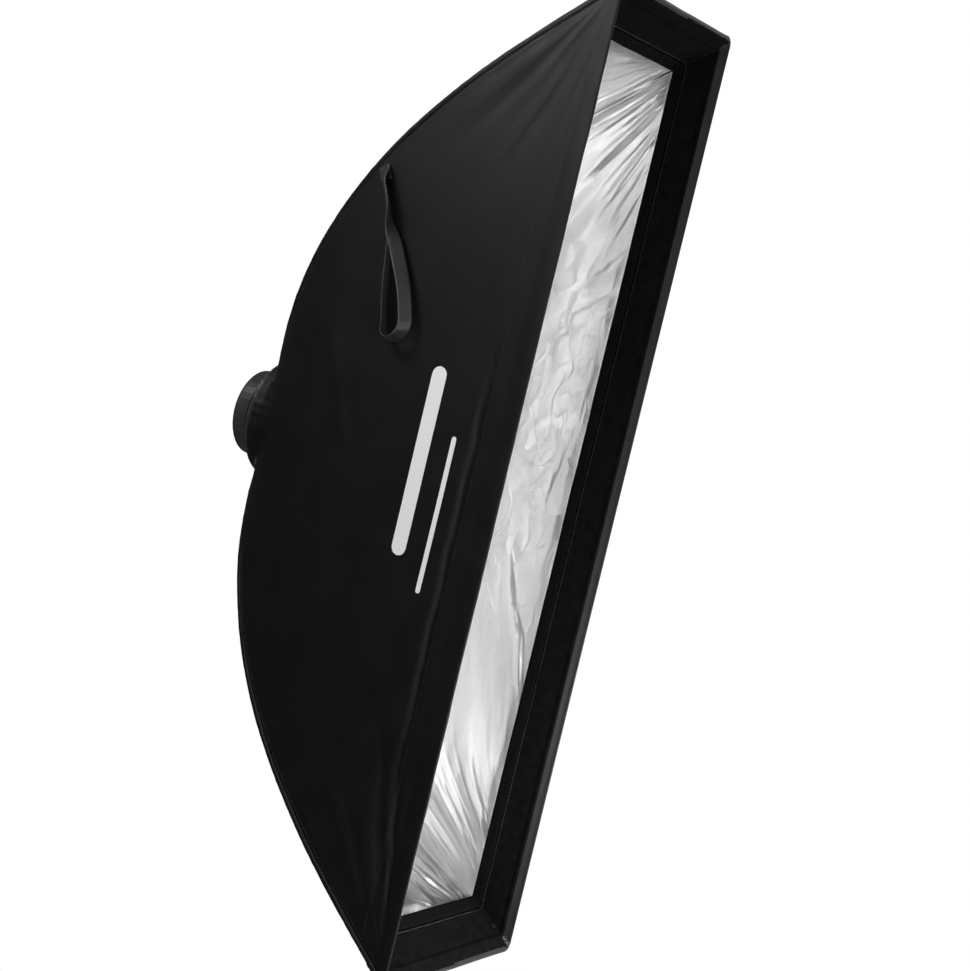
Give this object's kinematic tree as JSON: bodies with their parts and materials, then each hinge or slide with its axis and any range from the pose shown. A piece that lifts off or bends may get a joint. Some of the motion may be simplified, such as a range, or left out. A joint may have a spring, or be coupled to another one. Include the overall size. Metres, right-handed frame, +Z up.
{
  "type": "strip softbox",
  "caption": "Long narrow fabric light box on four bent rods, silver inside and open in front, that turns on a collar clamped to a light head.",
  "frame": {"origin": "centre of the collar's rear face, on the turning axis, where the light head enters", "axes": "+Z along the long side of the box, +Y to the rear towards the light head, -Y out of the open front, +X to the right as seen from the rear with +Z up"},
  "size_m": [0.311, 0.465, 1.2],
  "materials": {
    "black_fabric": "black coated ripstop nylon, soft sheen",
    "band_fabric": "matt black brushed fabric",
    "hook_tape": "black hook-and-loop tape",
    "silver_fabric": "silver metallised fabric, crinkled",
    "ribbon": "black satin ribbon",
    "rod": "black coated spring rod",
    "black_plastic": "black glass-filled nylon",
    "black_metal": "black anodised, satin",
    "steel": "plain",
    "rubber": "matt",
    "nylon": "natural"
  },
  "bodies": {
    "collar": {"mount_collar": "black_plastic", "collar_liner": "rubber", "slip_ring": "nylon", "retaining_ring": "black_metal", "retaining_screw_1": "steel", "retaining_screw_2": "steel", "retaining_screw_3": "steel", "retaining_screw_4": "steel", "clamp_band": "black_metal", "clamp_bolt": "steel", "adjusting_nut": "steel", "cam_saddle": "black_plastic", "lever_pin": "steel"},
    "lever": {"cam_lever": "black_metal"},
    "softbox": {"speedring": "black_metal", "rear_cuff": "black_fabric", "rod_socket_top_left": "black_plastic", "rod_socket_top_right": "black_plastic", "rod_socket_bottom_left": "black_plastic", "rod_socket_bottom_right": "black_plastic", "socket_screw_top_left": "steel", "socket_screw_top_right": "steel", "socket_screw_bottom_left": "steel", "socket_screw_bottom_right": "steel", "rod_top_left": "rod", "rod_top_right": "rod", "rod_bottom_left": "rod", "rod_bottom_right": "rod", "rod_tip_top_left": "rubber", "rod_tip_top_right": "rubber", "rod_tip_bottom_left": "rubber", "rod_tip_bottom_right": "rubber", "rod_sleeve_top_left": "black_fabric", "rod_sleeve_top_right": "black_fabric", "rod_sleeve_bottom_left": "black_fabric", "rod_sleeve_bottom_right": "black_fabric", "corner_pocket_top_left": "black_fabric", "corner_pocket_top_right": "black_fabric", "corner_pocket_bottom_left": "black_fabric", "corner_pocket_bottom_right": "black_fabric", "side_panel_left": "black_fabric", "side_panel_right": "black_fabric", "end_panel_top": "black_fabric", "end_panel_bottom": "black_fabric", "side_lining_left": "silver_fabric", "side_lining_right": "silver_fabric", "end_lining_top": "silver_fabric", "end_lining_bottom": "silver_fabric", "front_band_left": "band_fabric", "front_band_right": "band_fabric", "front_band_top": "band_fabric", "front_band_bottom": "band_fabric", "hook_tape_left": "hook_tape", "hook_tape_right": "hook_tape", "hook_tape_top": "hook_tape", "hook_tape_bottom": "hook_tape", "strap_tab": "ribbon"},
    "strap": {"strap_loop": "ribbon"}
  },
  "joints": [
    {"name": "softbox_rotation", "type": "hinge", "parent": "collar", "child": "softbox", "pos_m": [0, 0, 0], "axis": [0, 1, 0], "continuous": true},
    {"name": "clamp_lever", "type": "hinge", "parent": "collar", "child": "lever", "pos_m": [0.0655, -0.0115, 0.0175], "axis": [0, 1, 0], "range_deg": [0, 110]},
    {"name": "strap_swing", "type": "hinge", "parent": "softbox", "child": "strap", "pos_m": [-0.11467, -0.18282, 0.338], "axis": [-0.9798, 0.2, 0], "range_deg": [-60, 100]}
  ]
}
